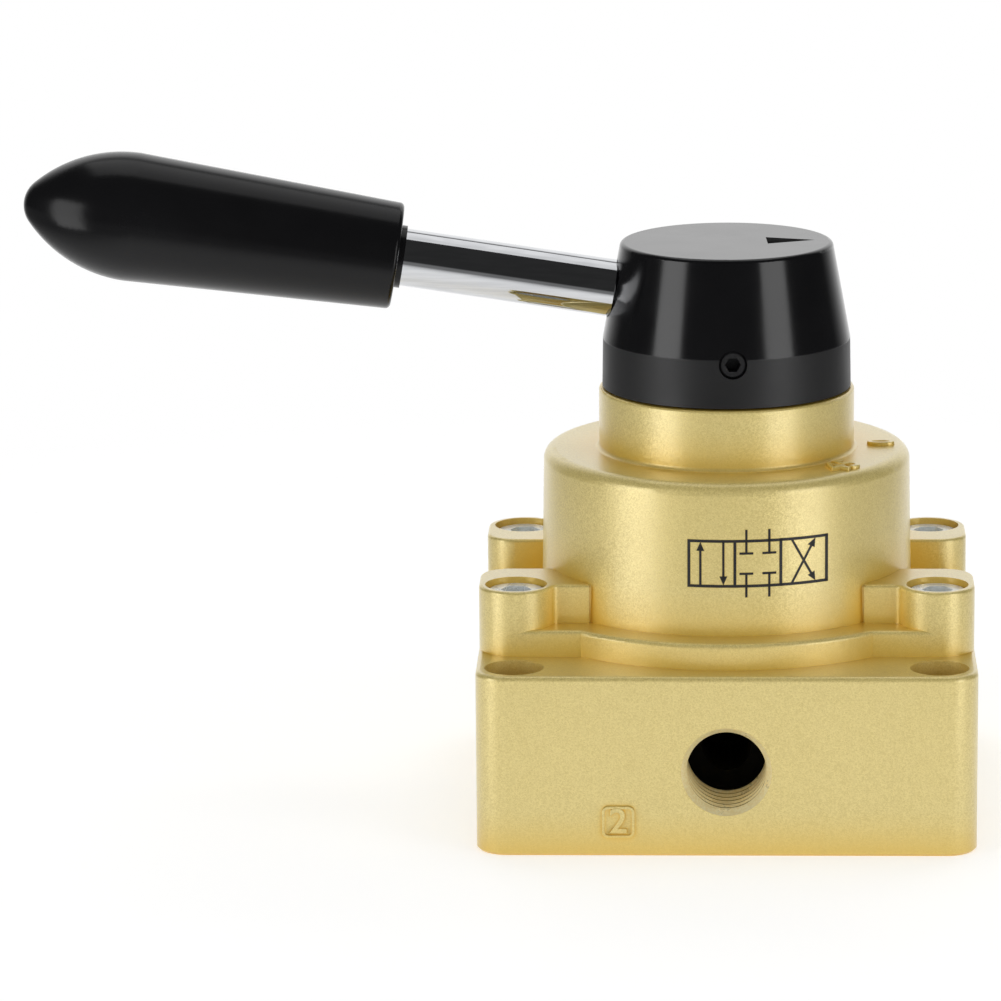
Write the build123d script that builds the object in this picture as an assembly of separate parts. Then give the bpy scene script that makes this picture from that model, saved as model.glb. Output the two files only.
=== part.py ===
"""Hand lever air valve: square ported body, cast cover, rotary disc and a tilted rod lever.

Millimetres and degrees. The origin is the centre of the body's underside, +Z is the turning
axis, and the lever points along -X. Each function returns one named piece in its place.
"""

import math
import os

from build123d import *

# Valve body
body_side = 72.0
body_height = 26.5
body_corner_radius = 4.5
body_edge_radius = 0.7
body_foot_chamfer = 0.4
mounting_hole_inset = 5.5
mounting_hole_radius = 4.25

# Ports, one on each side of the body: G1/4, wall at the pitch radius of the thread
port_radius = 6.15
port_mouth_radius = 6.5
port_height = 12.5
port_depth = 14.0

# Air passages from the ports to the seat: one drilled inwards, one rising to meet it
inward_passage_radius = 3.6
passage_radius = 3.2
passage_circle_radius = 12.0
passage_runout = 0.5
port_seal_width = 1.5
port_seal_thickness = 1.6
seal_edge_chamfer = 0.25
seal_side_clearance = 0.1

# Seat plate and its dowels
seat_recess_depth = 3.0
seat_plate_thickness = 4.0
seat_plate_margin = 2.0
seat_plate_clearance = 0.2
dowel_radius = 1.5
dowel_circle_radius = 17.5
dowel_depth = 2.5
dowel_clearance = 0.02

# Rotor disc
rotor_radius = 21.0
rotor_thickness = 8.0
rotor_pocket_depth = 4.0
rotor_edge_chamfer = 0.5
running_clearance = 0.05

# Rotor spring, coiled round the spindle's nose
rotor_spring_pocket_depth = 3.5
rotor_spring_wire = 1.1
rotor_spring_turns = 3
rotor_spring_clearance = 0.5

# Drive pins
drive_pin_radius = 2.0
drive_pin_circle_radius = 15.5
drive_pin_depth = 4.0
drive_pin_clearance = 0.05

# Spindle
spindle_radius = 6.0
spindle_chamfer = 0.8
nose_radius = 4.0
nose_depth = 5.0
shaft_clearance = 0.03
flange_gap = 2.65
driver_radius = 20.0
driver_thickness = 8.4

# Detents: balls in the driving flange, notches in the roof of the cover
ball_radius = 2.5
ball_circle_radius = 14.0
ball_pocket_depth = 7.4
ball_clearance = 0.05
ball_rise = 0.6
detent_angle = 45.0
detent_spring_wire = 0.5
detent_spring_turns = 3

# Thrust washer, bush, shaft seals and retaining ring
washer_ball_gap = 0.5
washer_thickness = 1.0
washer_clearance = 0.2
bush_wall = 1.97
bush_end_gap = 0.3
shaft_seal_section = 1.4
shaft_seal_spacing = 6.0
shaft_seal_height = 3.3
groove_clearance = 0.25
retaining_ring_thickness = 1.0
retaining_ring_depth = 0.5
retaining_ring_width = 2.7
retaining_ring_opening = 60.0

# Cover
cavity_clearance = 0.5
cover_wall = 3.85
cover_draft = 1.0
cover_roof = 4.9
shoulder_radius = 1.8
flange_width = 4.75
flange_height = 3.8
flange_edge_radius = 0.6
collar_radius = 18.75
collar_height = 8.95
collar_wall = 2.9
collar_edge_radius = 0.4
collar_root_radius = 0.6
neck_wall = 3.0
neck_drop = 1.5
neck_recess_depth = 6.0

# Screw bosses of the cover
cover_side_inset = 0.1
screw_spacing_y = 37.7
boss_radius = 5.4
boss_height = 9.5
boss_edge_radius = 0.45
web_start_x = 19.9
web_reach_y = 19.5
web_root_radius = 1.2
pad_inner_y = 9.0
pad_corner_radius = 4.2

# Cover screws, M5 socket head
screw_radius = 2.5
screw_length = 16.0
screw_head_radius = 4.25
screw_head_height = 5.0
screw_socket_width = 4.0
screw_socket_depth = 2.5
screw_edge_chamfer = 0.35
screw_sink = 0.8
counterbore_clearance = 0.25
screw_hole_clearance = 0.25
thread_clearance = 0.05
tapped_hole_extra = 1.5

# Cover seal
cover_seal_width = 1.8
cover_seal_thickness = 1.6
cover_seal_margin = 1.2

# Knob
knob_gap = 0.3
knob_height = 21.25
knob_skirt_height = 7.15
knob_bottom_radius = 18.25
knob_crease_radius = 18.13
knob_cone_angle = 10.45
knob_edge_radius = 0.7
knob_bore_depth = 14.5
knob_recess_depth = 3.0
knob_skirt_wall = 2.8
knob_hub_wall = 4.5
pointer_start = 5.9
pointer_end = 12.95
pointer_half_width = 2.6
pointer_depth = 0.35

# Knob set screw, M4
set_screw_radius = 2.0
set_screw_height = 6.35
set_screw_length = 11.8
set_screw_socket_width = 2.0
set_screw_socket_depth = 2.2
set_screw_chamfer = 0.3

# Lever rod
lever_offset_angle = 3.0
lever_tilt = 9.2
lever_height = 11.75
rod_radius = 4.22
rod_chamfer = 0.35
rod_seat_distance = 16.5
rod_seat_clearance = 0.15
stud_radius = 3.0
stud_length = 8.3
stud_chamfer = 0.5
rod_grip_depth = 38.0

# Grip and ferrule
grip_tip_distance = 103.8
grip_length = 55.0
grip_end_radius = 7.79
grip_widest_radius = 9.42
grip_nose_length = 16.0
grip_nose_curve = 20.2
grip_edge_radius = 0.7
ferrule_wall = 0.35
ferrule_depth = 7.0
ferrule_proud = 0.9

# Levels up the turning axis
seat_floor = body_height - seat_recess_depth
seat_top = seat_floor + seat_plate_thickness
rotor_low = seat_top + running_clearance
rotor_top = rotor_low + rotor_thickness
driver_low = rotor_top + flange_gap
driver_top = driver_low + driver_thickness
washer_low = driver_top + running_clearance
cover_ceiling = washer_low + washer_thickness
shoulder_level = cover_ceiling + cover_roof
collar_top = shoulder_level + collar_height
neck_top = collar_top - neck_drop
ring_low = neck_top + running_clearance
ring_top = ring_low + retaining_ring_thickness
knob_bottom = collar_top + knob_gap
knob_crease = knob_bottom + knob_skirt_height
knob_top = knob_bottom + knob_height
spindle_top = knob_bottom + knob_bore_depth - groove_clearance
flange_top = body_height + flange_height
boss_top = body_height + boss_height
screw_seat = boss_top - screw_sink - screw_head_height
ball_centre = cover_ceiling - running_clearance - ball_radius

# Radii and reaches that follow from the pieces they fit
half_side = body_side / 2
port_seal_radius = passage_radius + port_seal_width + seal_side_clearance
seat_plate_radius = rotor_radius + seat_plate_margin
cavity_radius = seat_plate_radius + cavity_clearance
drum_radius = cavity_radius + cover_wall
cover_flange_radius = drum_radius + flange_width
cover_seal_radius = cavity_radius + cover_seal_margin
bush_radius = spindle_radius + shaft_clearance + bush_wall
neck_radius = bush_radius + neck_wall
ring_groove_radius = spindle_radius - retaining_ring_depth
washer_radius = ball_circle_radius - ball_radius - washer_ball_gap
mounting_reach = half_side - mounting_hole_inset
boss_x = half_side - cover_side_inset - boss_radius
boss_y = screw_spacing_y / 2
knob_top_radius = knob_crease_radius - (knob_top - knob_crease) * math.tan(math.radians(knob_cone_angle))
grip_end_distance = grip_tip_distance - grip_length

upright = (Align.CENTER, Align.CENTER, Align.MIN)


def cylinder(radius, low, high, x=0.0, y=0.0):
    """A round bar that stands between two levels."""
    return Pos(x, y, low) * Cylinder(radius, high - low, align=upright)


def tube(outer, inner, low, high, x=0.0, y=0.0):
    """A ring that stands between two levels."""
    return cylinder(outer, low, high, x, y) - cylinder(inner, low, high, x, y)


def turned(points):
    """A solid of revolution about +Z from (radius, level) points."""
    return revolve(Plane.XZ * make_face(Polyline(*points, close=True)), Axis.Z)


def round_edges(piece, level, radius=None):
    """The edges of a piece that lie at one level, or those with one radius there."""
    found = piece.edges().filter_by_position(Axis.Z, level - 0.001, level + 0.001)
    if radius is None:
        return found
    circles = found.filter_by(GeomType.CIRCLE)
    return circles.filter_by(lambda edge: abs(edge.radius - radius) < 0.001)


def coil_spring(mean_radius, wire, low, high, turns):
    """A square-wire coil spring whose wire lies between two levels."""
    height = high - low - wire
    path = Helix(height / turns, height, mean_radius)
    section = Plane(origin=path @ 0, x_dir=(1, 0, 0), z_dir=path % 0) * Rectangle(wire, wire)
    return Pos(0, 0, low + wire / 2) * sweep(section, path=path, is_frenet=True)


def corners(reach_x, reach_y):
    """The four corner places of a rectangular pattern."""
    return [(x * reach_x, y * reach_y) for x in (-1, 1) for y in (-1, 1)]


def on_lever(piece):
    """Takes a piece modelled along +Z from the knob's axis onto the lever's axis."""
    lever_root = Pos(0, 0, knob_bottom + lever_height) * Rot(0, lever_tilt - 90, 0)
    return Rot(0, 0, lever_offset_angle) * lever_root * piece


def on_set_screw(piece):
    """Takes a piece modelled along +Z from the knob's axis onto the set screw's axis."""
    screw_root = Pos(0, 0, knob_bottom + set_screw_height) * Rot(90, 0, 0)
    return Rot(0, 0, lever_offset_angle) * screw_root * piece


def port_cutter():
    """One port with its passage up to the seat, on the -Y side."""
    mouth_depth = port_mouth_radius - port_radius
    face = Pos(0, -half_side, port_height) * Rot(-90, 0, 0)
    bore = face * cylinder(port_radius, 0, port_depth)
    mouth = face * Pos(0, 0, mouth_depth / 2) * Cone(port_mouth_radius, port_radius, mouth_depth)
    run = half_side - passage_circle_radius + passage_radius + passage_runout
    inward = face * cylinder(inward_passage_radius, 0, run)
    upward = cylinder(passage_radius, port_height, seat_floor, 0, -passage_circle_radius)
    seal_seat = cylinder(
        port_seal_radius, seat_floor - port_seal_thickness, seat_floor, 0, -passage_circle_radius
    )
    return bore + mouth + inward + upward + seal_seat


def valve_body():
    block = extrude(RectangleRounded(body_side, body_side, body_corner_radius), body_height)
    block = fillet(round_edges(block, body_height), body_edge_radius)
    block = chamfer(round_edges(block, 0), body_foot_chamfer)
    block -= cylinder(seat_plate_radius + seat_plate_clearance, seat_floor, body_height)
    for x, y in corners(mounting_reach, mounting_reach):
        block -= cylinder(mounting_hole_radius, 0, body_height, x, y)
    for x, y in corners(boss_x, boss_y):
        tip = screw_seat - screw_length - tapped_hole_extra
        block -= cylinder(screw_radius + thread_clearance, tip, body_height, x, y)
    for side in range(4):
        block -= Rot(0, 0, 90 * side) * port_cutter()
    for x, y in dowel_places():
        block -= cylinder(dowel_radius + dowel_clearance, seat_floor - dowel_depth, seat_floor, x, y)
    return block


def dowel_places():
    reach = dowel_circle_radius * math.sqrt(0.5)
    return [(reach, reach), (-reach, -reach)]


def seat_plate():
    plate = cylinder(seat_plate_radius, seat_floor, seat_top)
    for side in range(4):
        plate -= Rot(0, 0, 90 * side) * cylinder(
            passage_radius, seat_floor, seat_top, passage_circle_radius
        )
    for x, y in dowel_places():
        plate -= cylinder(dowel_radius + dowel_clearance, seat_floor, seat_floor + dowel_depth, x, y)
    return plate


def seat_dowels():
    low = seat_floor - dowel_depth
    return [cylinder(dowel_radius, low, low + 2 * dowel_depth, x, y) for x, y in dowel_places()]


def port_seal_rings():
    inner = passage_radius + seal_side_clearance
    low = seat_floor - port_seal_thickness
    ring = tube(inner + port_seal_width - seal_side_clearance, inner, low, seat_floor)
    places = [Rot(0, 0, 90 * side) * Pos(passage_circle_radius, 0, 0) for side in range(4)]
    return [place * ring for place in places]


def rotor_disc():
    disc = cylinder(rotor_radius, rotor_low, rotor_top)
    disc = chamfer(round_edges(disc, rotor_top), rotor_edge_chamfer)
    disc -= cylinder(nose_radius + shaft_clearance, rotor_low, rotor_top)
    spring_pocket = nose_radius + 2 * rotor_spring_clearance + rotor_spring_wire
    disc -= cylinder(spring_pocket, rotor_top - rotor_spring_pocket_depth, rotor_top)
    for side in (0, 180):
        arc = CenterArc((0, 0), passage_circle_radius, side - detent_angle, 2 * detent_angle)
        pocket = SlotArc(arc, 2 * passage_radius)
        disc -= Pos(0, 0, rotor_low) * extrude(pocket, rotor_pocket_depth)
    for y in (-drive_pin_circle_radius, drive_pin_circle_radius):
        low = rotor_top - drive_pin_depth - drive_pin_clearance
        disc -= cylinder(drive_pin_radius + drive_pin_clearance, low, rotor_top, 0, y)
    return disc


def drive_pins():
    low = rotor_top - drive_pin_depth
    high = driver_low + drive_pin_depth
    pin = cylinder(drive_pin_radius, low, high, 0, drive_pin_circle_radius)
    return [pin, Rot(0, 0, 180) * pin]


def rotor_spring():
    mean_radius = nose_radius + rotor_spring_clearance + rotor_spring_wire / 2
    low = rotor_top - rotor_spring_pocket_depth
    return coil_spring(mean_radius, rotor_spring_wire, low, driver_low, rotor_spring_turns)


def shaft_seal_levels():
    first = cover_ceiling + shaft_seal_height
    return [first, first + shaft_seal_spacing]


def spindle():
    shaft = cylinder(spindle_radius, driver_low, spindle_top)
    shaft = chamfer(round_edges(shaft, spindle_top), spindle_chamfer)
    driver = cylinder(driver_radius, driver_low, driver_top)
    shaft += chamfer(driver.edges(), rotor_edge_chamfer)
    shaft += cylinder(nose_radius, rotor_top - nose_depth, driver_low)
    for level in shaft_seal_levels():
        half = shaft_seal_section / 2 + groove_clearance
        core = spindle_radius - shaft_seal_section
        shaft -= tube(spindle_radius, core, level - half, level + half)
    shaft -= tube(spindle_radius, ring_groove_radius, ring_low, ring_top + running_clearance)
    for x in (-ball_circle_radius, ball_circle_radius):
        low = driver_top - ball_pocket_depth
        shaft -= cylinder(ball_radius + ball_clearance, low, driver_top, x)
    for y in (-drive_pin_circle_radius, drive_pin_circle_radius):
        high = driver_low + drive_pin_depth
        shaft -= cylinder(drive_pin_radius + dowel_clearance, driver_low, high, 0, y)
    return shaft


def detent_balls():
    ball = Pos(ball_circle_radius, 0, ball_centre) * Sphere(ball_radius)
    return [ball, Rot(0, 0, 180) * ball]


def detent_springs():
    wire = detent_spring_wire
    mean_radius = ball_radius - wire - ball_clearance
    rest_on_ball = math.sqrt((ball_radius + wire / 2) ** 2 - mean_radius**2)
    high = ball_centre - rest_on_ball + wire / 2 - ball_clearance
    low = driver_top - ball_pocket_depth
    spring = coil_spring(mean_radius, wire, low, high, detent_spring_turns)
    spring = Pos(ball_circle_radius, 0, 0) * spring
    return [spring, Rot(0, 0, 180) * spring]


def thrust_washer():
    return tube(washer_radius, spindle_radius + washer_clearance, washer_low, cover_ceiling)


def spindle_bush():
    low = cover_ceiling + bush_end_gap
    return tube(bush_radius, spindle_radius + shaft_clearance, low, neck_top)


def spindle_seal_rings():
    half = shaft_seal_section / 2
    ring = tube(spindle_radius, spindle_radius - shaft_seal_section, -half, half)
    ring = chamfer(ring.edges().filter_by(GeomType.CIRCLE), seal_edge_chamfer)
    return [Pos(0, 0, level) * ring for level in shaft_seal_levels()]


def retaining_ring():
    ring = tube(ring_groove_radius + retaining_ring_width, ring_groove_radius, ring_low, ring_top)
    reach = 2 * spindle_radius + retaining_ring_width
    half_gap = reach * math.tan(math.radians(retaining_ring_opening / 2))
    wedge = make_face(Polyline((0, 0), (reach, -half_gap), (reach, half_gap), close=True))
    return ring - Pos(0, 0, ring_low) * extrude(wedge, retaining_ring_thickness)


def cover_drum():
    """The drum, shoulder and neck collar, solid inside."""
    taper = math.tan(math.radians(cover_draft))
    foot_radius = drum_radius - flange_height * taper
    edge_radius = drum_radius - (shoulder_level - body_height) * taper
    drum = turned([
        (0, body_height),
        (drum_radius, body_height),
        (foot_radius, flange_top),
        (edge_radius, shoulder_level),
        (0, shoulder_level),
    ])
    drum = fillet(round_edges(drum, shoulder_level), shoulder_radius)
    drum += cylinder(collar_radius, shoulder_level, collar_top)
    drum = fillet(round_edges(drum, collar_top), collar_edge_radius)
    return fillet(round_edges(drum, shoulder_level, collar_radius), collar_root_radius)


def cover_flange():
    """The round flange with its two squared ends."""
    ends = RectangleRounded(
        2 * (boss_x + boss_radius), 2 * (boss_y + boss_radius), boss_radius * 0.999
    )
    flange = extrude(ends + Circle(cover_flange_radius), flange_height)
    flange = fillet(round_edges(flange, flange_height), flange_edge_radius)
    return Pos(0, 0, body_height) * flange


def cover_boss():
    """One screw boss with its web to the drum, at the (+X, +Y) corner."""
    inner_x = drum_radius / 2
    pad_x = boss_x + boss_radius
    pad = make_face(
        Polyline(
            (inner_x, pad_inner_y), (pad_x, pad_inner_y), (pad_x, boss_y), (inner_x, boss_y), close=True
        )
    )
    pad = fillet(pad.vertices().sort_by(Axis.X)[-2:].sort_by(Axis.Y)[0], pad_corner_radius)
    web_low = pad_inner_y + pad_corner_radius
    web = Pos((web_start_x + boss_x) / 2, (web_low + web_reach_y) / 2) * Rectangle(
        boss_x - web_start_x, web_reach_y - web_low
    )
    filler_high = math.sqrt(drum_radius**2 - web_start_x**2) - boss_edge_radius
    filler = Pos((inner_x + web_start_x) / 2, (web_low + filler_high) / 2) * Rectangle(
        web_start_x - inner_x, filler_high - web_low
    )
    plan = pad + web + Pos(boss_x, boss_y) * Circle(boss_radius)
    root = plan.vertices().filter_by(
        lambda corner: abs(corner.Y - web_reach_y) < 0.001 and corner.X > web_start_x + 0.001
    )
    plan = fillet(root, web_root_radius) + filler
    boss = extrude(plan, boss_height)
    return Pos(0, 0, body_height) * fillet(round_edges(boss, boss_height), boss_edge_radius)


def cover():
    shell = cover_drum() + cover_flange()
    boss = cover_boss()
    for copy in (boss, mirror(boss, Plane.YZ)):
        shell += copy
        shell += mirror(copy, Plane.XZ)
    shell -= cylinder(cavity_radius, body_height, cover_ceiling)
    shell -= cylinder(bush_radius, cover_ceiling, collar_top)
    shell -= cylinder(neck_radius, neck_top, collar_top)
    recess_outer = collar_radius - collar_wall
    shell -= tube(recess_outer, neck_radius, collar_top - neck_recess_depth, collar_top)
    seal_groove = cover_seal_width + 2 * seal_side_clearance
    shell -= tube(
        cover_seal_radius + seal_groove, cover_seal_radius, body_height, body_height + cover_seal_thickness
    )
    for x, y in corners(boss_x, boss_y):
        shell -= cylinder(screw_head_radius + counterbore_clearance, screw_seat, boss_top, x, y)
        shell -= cylinder(screw_radius + screw_hole_clearance, body_height, screw_seat, x, y)
    notch_level = ball_centre + ball_rise + running_clearance
    for angle in range(6):
        turn = Rot(0, 0, notch_angles()[angle])
        shell -= turn * Pos(ball_circle_radius, 0, notch_level) * Sphere(ball_radius)
    return shell


def notch_angles():
    return [side + notch * detent_angle for side in (0, 180) for notch in (-1, 0, 1)]


def cover_seal():
    inner = cover_seal_radius + seal_side_clearance
    ring = tube(inner + cover_seal_width, inner, body_height, body_height + cover_seal_thickness)
    return chamfer(ring.edges().filter_by(GeomType.CIRCLE), seal_edge_chamfer)


def socket_screw(radius, low, high, socket_width, socket_depth):
    """A round bar with a hexagon socket in its upper end."""
    socket = extrude(RegularPolygon(socket_width / math.sqrt(3), 6), socket_depth)
    return cylinder(radius, low, high) - Pos(0, 0, high - socket_depth) * socket


def cover_screws():
    head_top = screw_seat + screw_head_height
    head = socket_screw(
        screw_head_radius, screw_seat, head_top, screw_socket_width, screw_socket_depth
    )
    head = chamfer(round_edges(head, head_top, screw_head_radius), screw_edge_chamfer)
    shank = cylinder(screw_radius, screw_seat - screw_length, screw_seat)
    shank = chamfer(round_edges(shank, screw_seat - screw_length), screw_edge_chamfer)
    screw = head + shank
    return [Pos(x, y, 0) * screw for x, y in corners(boss_x, boss_y)]


def knob():
    cap = turned([
        (0, knob_bottom),
        (knob_bottom_radius, knob_bottom),
        (knob_crease_radius, knob_crease),
        (knob_top_radius, knob_top),
        (0, knob_top),
    ])
    cap = fillet(round_edges(cap, knob_top), knob_edge_radius)
    cap -= cylinder(spindle_radius + shaft_clearance, knob_bottom, knob_bottom + knob_bore_depth)
    hub_radius = spindle_radius + knob_hub_wall
    cap -= tube(
        knob_bottom_radius - knob_skirt_wall, hub_radius, knob_bottom, knob_bottom + knob_recess_depth
    )
    cap -= on_lever(cylinder(stud_radius, rod_seat_distance - stud_length, grip_tip_distance))
    cap -= on_lever(cylinder(rod_radius + rod_seat_clearance, rod_seat_distance, grip_tip_distance))
    cap -= on_set_screw(cylinder(set_screw_radius + thread_clearance, 0, body_side))
    pointer = make_face(
        Polyline(
            (pointer_start, -pointer_half_width),
            (pointer_end, 0),
            (pointer_start, pointer_half_width),
            close=True,
        )
    )
    pointer = Pos(0, 0, knob_top - pointer_depth) * extrude(pointer, pointer_depth)
    return cap - Rot(0, 0, lever_offset_angle) * pointer


def knob_set_screw():
    tip = spindle_radius
    outer = tip + set_screw_length
    screw = socket_screw(
        set_screw_radius, tip, outer, set_screw_socket_width, set_screw_socket_depth
    )
    screw = chamfer(round_edges(screw, tip), set_screw_chamfer)
    screw = chamfer(round_edges(screw, outer, set_screw_radius), set_screw_chamfer)
    return on_set_screw(screw)


def lever_rod():
    rod_end = grip_end_distance + rod_grip_depth
    rod = cylinder(rod_radius, rod_seat_distance, rod_end)
    rod = chamfer(rod.edges().filter_by(GeomType.CIRCLE), rod_chamfer)
    stud_end = rod_seat_distance - stud_length + stud_chamfer
    stud = cylinder(stud_radius - shaft_clearance, stud_end, rod_seat_distance)
    return on_lever(rod + chamfer(round_edges(stud, stud_end), stud_chamfer))


def lever_grip():
    """The bullet: a taper that swells towards an arched nose, which a round cap closes smoothly."""
    widest = grip_tip_distance - grip_nose_length
    drop = grip_nose_curve - grip_widest_radius
    cap_radius = (grip_nose_curve**2 - grip_nose_length**2 - drop**2) / (
        2 * (grip_nose_curve - grip_nose_length)
    )
    cap_centre = grip_tip_distance - cap_radius
    meeting = math.atan2(drop, cap_centre - widest)
    middle = (math.pi / 2 + meeting) / 2

    def on_nose(angle):
        return (grip_nose_curve * math.sin(angle) - drop, widest + grip_nose_curve * math.cos(angle))

    def on_cap(angle):
        return (cap_radius * math.sin(angle), cap_centre + cap_radius * math.cos(angle))

    outline = Polyline(
        (0, grip_tip_distance),
        (0, grip_end_distance),
        (grip_end_radius, grip_end_distance),
        (grip_widest_radius, widest),
    )
    outline += ThreePointArc((grip_widest_radius, widest), on_nose(middle), on_nose(meeting))
    outline += ThreePointArc(on_nose(meeting), on_cap(meeting / 2), (0, grip_tip_distance))
    grip = revolve(Plane.XZ * make_face(outline), Axis.Z)
    grip = fillet(round_edges(grip, grip_end_distance), grip_edge_radius)
    bore_end = grip_end_distance + rod_grip_depth
    grip -= cylinder(rod_radius + shaft_clearance, grip_end_distance, bore_end)
    ferrule_radius = rod_radius + shaft_clearance + ferrule_wall
    grip -= cylinder(ferrule_radius, grip_end_distance, grip_end_distance + ferrule_depth)
    return on_lever(grip)


def grip_ferrule():
    inner = rod_radius + shaft_clearance
    low = grip_end_distance - ferrule_proud
    high = grip_end_distance + ferrule_depth
    return on_lever(tube(inner + ferrule_wall, inner, low, high))


pieces = {
    "valve_body": valve_body,
    "port_seal_rings": port_seal_rings,
    "seat_plate": seat_plate,
    "seat_dowels": seat_dowels,
    "rotor_disc": rotor_disc,
    "rotor_spring": rotor_spring,
    "drive_pins": drive_pins,
    "spindle": spindle,
    "detent_springs": detent_springs,
    "detent_balls": detent_balls,
    "thrust_washer": thrust_washer,
    "spindle_bush": spindle_bush,
    "spindle_seal_rings": spindle_seal_rings,
    "retaining_ring": retaining_ring,
    "cover": cover,
    "cover_seal": cover_seal,
    "cover_screws": cover_screws,
    "knob": knob,
    "knob_set_screw": knob_set_screw,
    "lever_rod": lever_rod,
    "lever_grip": lever_grip,
    "grip_ferrule": grip_ferrule,
}

os.makedirs("parts", exist_ok=True)
for name, make in pieces.items():
    shape = make()
    if isinstance(shape, list):
        shape = Compound(children=shape)
    export_step(shape, f"parts/{name}.step")
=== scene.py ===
import bpy
import bmesh
import math
from mathutils import Matrix, Vector


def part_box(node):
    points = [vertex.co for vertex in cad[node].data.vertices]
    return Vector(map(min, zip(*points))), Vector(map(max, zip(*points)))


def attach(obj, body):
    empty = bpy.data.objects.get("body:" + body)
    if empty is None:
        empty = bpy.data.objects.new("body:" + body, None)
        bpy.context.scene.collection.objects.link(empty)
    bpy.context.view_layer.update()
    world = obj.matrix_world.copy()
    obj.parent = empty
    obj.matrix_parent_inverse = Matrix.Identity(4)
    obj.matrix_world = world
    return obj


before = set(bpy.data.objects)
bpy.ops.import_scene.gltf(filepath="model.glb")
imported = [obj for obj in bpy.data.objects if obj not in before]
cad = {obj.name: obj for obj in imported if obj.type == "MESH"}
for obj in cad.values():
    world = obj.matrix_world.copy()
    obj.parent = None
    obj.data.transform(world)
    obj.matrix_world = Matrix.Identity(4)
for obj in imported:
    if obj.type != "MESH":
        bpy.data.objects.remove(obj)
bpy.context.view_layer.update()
mm = 0.001

bodyLow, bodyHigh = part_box("valve_body")
coverLow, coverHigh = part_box("cover")
knobLow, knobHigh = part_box("knob")
side = bodyHigh.x  # half of the square body
print("frame loaded:", len(cad), "nodes")

port = {
    "height": 12.5 * mm,
    "wall": 6.15 * mm,
    "crest": 5.72 * mm,
    "mouth": 6.5 * mm,
    "pitch": 1.814 * mm,
    "turns": 6,
    "steps": 56,
    "root": 0.40,  # half the ridge's width at its root and crest, over the pitch
    "tip": 0.12,
    "sunk": 0.06 * mm,  # how far the ridge reaches into the wall
    "start": 1.15 * mm,
    "dark": (5.0 * mm, 10.0 * mm),  # depths over which painted shade turns the bore black
    "spare": 0.1 * mm,  # past the wall, and still inside the bore
}


# camera: low and far away, turned a little to the left of the valve
view = {
    "distance": 836.1 * mm,
    "height": 236.8 * mm,
    "pitch": 12.98,
    "yaw": 2.23,
    "lens": 208.7,
    "sensor": 36,
    "clip": (0.05, 20),
}

cameraData = bpy.data.cameras.new("mainCamera")
cameraData.lens = view["lens"]
cameraData.sensor_width = view["sensor"]
cameraData.clip_start, cameraData.clip_end = view["clip"]
camera = bpy.data.objects.new("mainCamera", cameraData)
bpy.context.scene.collection.objects.link(camera)
aim = Matrix.Rotation(math.radians(90 - view["pitch"]), 4, "X")
aim = aim @ Matrix.Rotation(math.radians(view["yaw"]), 4, "Y")
camera.matrix_world = Matrix.Translation((0, -view["distance"], view["height"])) @ aim
bpy.context.scene.camera = camera
bpy.context.scene.view_settings.view_transform = "Standard"
print("camera placed")


# node helpers
def addNode(tree, kind, place, **settings):
    node = tree.nodes.new(kind)
    node.location = place
    for key, value in settings.items():
        setattr(node, key, value)
    return node


def wire(tree, source, target):
    tree.links.new(source, target)


def mathNode(tree, operation, place, first, second=None, clamp=False):
    node = addNode(tree, "ShaderNodeMath", place, operation=operation, use_clamp=clamp)
    for index, value in enumerate((first, second)):
        if value is None:
            continue
        if isinstance(value, (int, float)):
            node.inputs[index].default_value = value
        else:
            wire(tree, value, node.inputs[index])
    return node.outputs[0]


def rampNode(tree, value, place, low, high, toLow=0.0, toHigh=1.0):
    node = addNode(tree, "ShaderNodeMapRange", place, interpolation_type="SMOOTHSTEP")
    node.inputs["From Min"].default_value = low
    node.inputs["From Max"].default_value = high
    node.inputs["To Min"].default_value = toLow
    node.inputs["To Max"].default_value = toHigh
    wire(tree, value, node.inputs["Value"])
    return node.outputs["Result"]


# studio: a pale wall behind, dark beside and in front, and upright soft boxes
studio = {
    "ambient": 0.24,
    "dark": 0.03,
    "wall": 1.1,  # how bright the wall behind looks in gloss
    "wallHigh": 0.2,  # and above it
    "table": 0.2,  # the far floor, past where it fades away
    "tableEdge": (-10, -3),  # degrees up where it ends
    "wallEdge": (116, 165),  # degrees round from the camera where the wall begins
    "wallTop": (34, 46),  # degrees up where it ends
    "aimHeight": 0.045,  # the height that the soft boxes face
    "floorSize": 3.0,
    "floorSides": 96,
    "floorColour": (0.85, 0.85, 0.85),
    "floorDrop": 0.00002,
    "floorGlow": (0.52, 0.50),  # what the floor adds for the camera, and in gloss
    "floorClear": (0.11, 0.28),  # metres from the valve over which the floor fades away
}
softBoxes = {  # azimuth and elevation in degrees, width, height, glow, and whether gloss shows it
    "leftBox": (-57, 3, 0.48, 0.80, 2.6, True),
    "rightBox": (50, 3, 0.48, 0.80, 2.3, True),
    "topBox": (180, 72, 0.9, 0.76, 0.85, True),
    "frontFill": (0, 8, 0.8, 0.6, 1.5, False),
    "leftFill": (-58, 6, 0.6, 0.6, 0.9, False),
    "rightFill": (58, 6, 0.6, 0.6, 0.9, False),
    "backLeftFill": (-150, 10, 0.8, 0.6, 1.6, False),
    "backRightFill": (150, 10, 0.8, 0.6, 1.6, False),
}


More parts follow.
